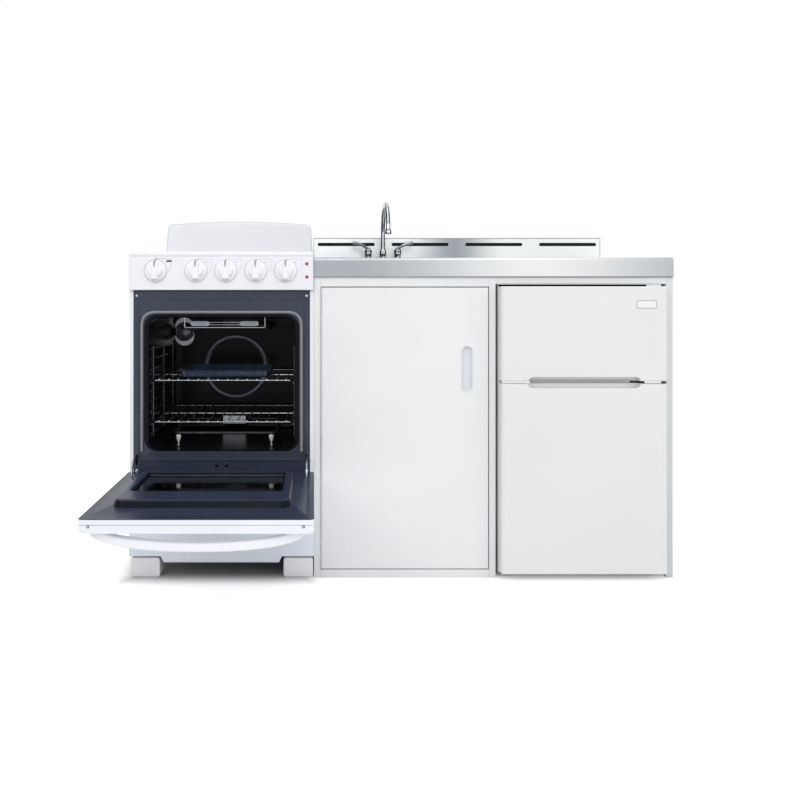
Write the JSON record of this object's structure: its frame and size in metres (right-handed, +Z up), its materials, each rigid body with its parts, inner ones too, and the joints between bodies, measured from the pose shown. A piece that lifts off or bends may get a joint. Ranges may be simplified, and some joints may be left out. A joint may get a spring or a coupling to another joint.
{
  "type": "kitchenette with range, sink and refrigerator",
  "caption": "White all-in-one kitchenette: electric range with coil hob and open oven, steel sink base under a stainless worktop, gooseneck tap, and a compact fridge-freezer",
  "frame": {"origin": "on the floor under the middle of the outline, with the oven door open", "axes": "+X to the right seen from the front, +Y to the back, +Z up; the front with its doors and knobs faces -Y"},
  "size_m": [1.538, 1.167, 1.1157],
  "materials": {
    "white_enamel": "gloss white porcelain enamel on sheet steel",
    "white_steel": "satin white baked paint on sheet steel",
    "grey_steel": "plain zinc-grey steel",
    "blue_enamel": "speckled dark blue porcelain enamel",
    "black_enamel": "glossy speckled near-black enamel",
    "chrome": "polished chrome plate",
    "stainless": "fine brushed stainless steel",
    "heater_black": "dull oxidised black",
    "seal": "grey braided oven seal",
    "glass": "clear tempered glass",
    "red_lens": "clear red plastic lens",
    "white_plastic": "smooth moulded white plastic",
    "fridge_white": "white coated skin over foam, fine leather grain",
    "foot_plastic": "matt moulded pale grey plastic"
  },
  "bodies": {
    "root": {"range_casing": "white_enamel", "range_base": "grey_steel", "kick_panel": "white_enamel", "foot_front_left": "foot_plastic", "foot_front_right": "foot_plastic", "rear_foot_rail": "grey_steel", "cooktop": "white_enamel", "drip_bowl_front_left": "chrome", "drip_bowl_rear_left": "chrome", "drip_bowl_rear_right": "chrome", "drip_bowl_front_right": "chrome", "coil_heater_front_left": "heater_black", "coil_heater_rear_left": "heater_black", "coil_heater_rear_right": "heater_black", "coil_heater_front_right": "heater_black", "backguard": "white_enamel", "control_panel": "white_enamel", "oven_lamp_indicator": "red_lens", "hob_lamp_indicator": "red_lens", "oven_front_frame": "blue_enamel", "oven_cavity": "black_enamel", "oven_gasket": "seal", "bake_heater": "heater_black", "broil_heater": "heater_black", "oven_lamp": "chrome", "cabinet_carcass": "white_steel", "end_panel": "white_steel", "face_frame": "white_steel", "cabinet_hinge": "grey_steel", "worktop": "stainless", "sink_bowl": "stainless", "sink_strainer": "chrome", "splashback": "stainless", "tap_body": "chrome", "fridge_shell": "white_steel", "fridge_liner": "white_plastic", "middle_hinge": "grey_steel", "compressor": "heater_black", "fridge_shelf": "glass"},
    "oven_door_body": {"door_outer": "white_enamel", "door_inner": "blue_enamel", "door_glass": "glass", "door_handle": "white_plastic", "door_hinge_left": "chrome", "door_hinge_right": "chrome"},
    "upper_rack_body": {"upper_rack": "chrome", "broiler_pan": "blue_enamel"},
    "lower_rack_body": {"lower_rack": "chrome"},
    "oven_knob_body": {"oven_knob": "white_plastic"},
    "hob_knob_1_body": {"hob_knob_1": "white_plastic"},
    "hob_knob_2_body": {"hob_knob_2": "white_plastic"},
    "hob_knob_3_body": {"hob_knob_3": "white_plastic"},
    "hob_knob_4_body": {"hob_knob_4": "white_plastic"},
    "cabinet_door_body": {"cabinet_door": "white_steel", "pull_cup": "white_plastic"},
    "freezer_door_body": {"freezer_door": "fridge_white"},
    "fridge_door_body": {"fridge_door": "fridge_white"},
    "tap_spout_body": {"tap_spout": "chrome"},
    "tap_lever_left_body": {"tap_lever_left": "chrome"},
    "tap_lever_right_body": {"tap_lever_right": "chrome"}
  },
  "joints": [
    {"name": "oven_door_hinge", "type": "hinge", "parent": "root", "child": "oven_door_body", "pos_m": [-0.5082, -0.0675, 0.293], "axis": [1, 0, 0], "range_deg": [-90, 0]},
    {"name": "upper_rack_slide", "type": "slide", "parent": "root", "child": "upper_rack_body", "axis": [0, -1, 0], "range_m": [0, 0.3]},
    {"name": "lower_rack_slide", "type": "slide", "parent": "root", "child": "lower_rack_body", "axis": [0, -1, 0], "range_m": [0, 0.3]},
    {"name": "oven_knob_turn", "type": "hinge", "parent": "root", "child": "oven_knob_body", "pos_m": [-0.693, -0.0603, 0.867], "axis": [0, 1, 0], "range_deg": [0, 270]},
    {"name": "hob_knob_1_turn", "type": "hinge", "parent": "root", "child": "hob_knob_1_body", "pos_m": [-0.579, -0.0603, 0.867], "axis": [0, 1, 0], "continuous": true},
    {"name": "hob_knob_2_turn", "type": "hinge", "parent": "root", "child": "hob_knob_2_body", "pos_m": [-0.495, -0.0603, 0.867], "axis": [0, 1, 0], "continuous": true},
    {"name": "hob_knob_3_turn", "type": "hinge", "parent": "root", "child": "hob_knob_3_body", "pos_m": [-0.411, -0.0603, 0.867], "axis": [0, 1, 0], "continuous": true},
    {"name": "hob_knob_4_turn", "type": "hinge", "parent": "root", "child": "hob_knob_4_body", "pos_m": [-0.327, -0.0603, 0.867], "axis": [0, 1, 0], "continuous": true},
    {"name": "cabinet_door_hinge", "type": "hinge", "parent": "root", "child": "cabinet_door_body", "pos_m": [-0.2268, -0.0475, 0.42], "axis": [0, 0, -1], "range_deg": [0, 90]},
    {"name": "freezer_door_hinge", "type": "hinge", "parent": "root", "child": "freezer_door_body", "pos_m": [0.726, -0.077, 0.69], "axis": [0, 0, 1], "range_deg": [0, 110]},
    {"name": "fridge_door_hinge", "type": "hinge", "parent": "root", "child": "fridge_door_body", "pos_m": [0.726, -0.077, 0.29], "axis": [0, 0, 1], "range_deg": [0, 110]},
    {"name": "spout_swivel", "type": "hinge", "parent": "root", "child": "tap_spout_body", "pos_m": [-0.006, 0.506, 0.97], "axis": [0, 0, 1], "range_deg": [-90, 90]},
    {"name": "tap_lever_left_turn", "type": "hinge", "parent": "root", "child": "tap_lever_left_body", "pos_m": [-0.057, 0.506, 0.96], "axis": [0, 0, 1], "range_deg": [0, 90]},
    {"name": "tap_lever_right_turn", "type": "hinge", "parent": "root", "child": "tap_lever_right_body", "pos_m": [0.045, 0.506, 0.96], "axis": [0, 0, -1], "range_deg": [0, 90]}
  ]
}
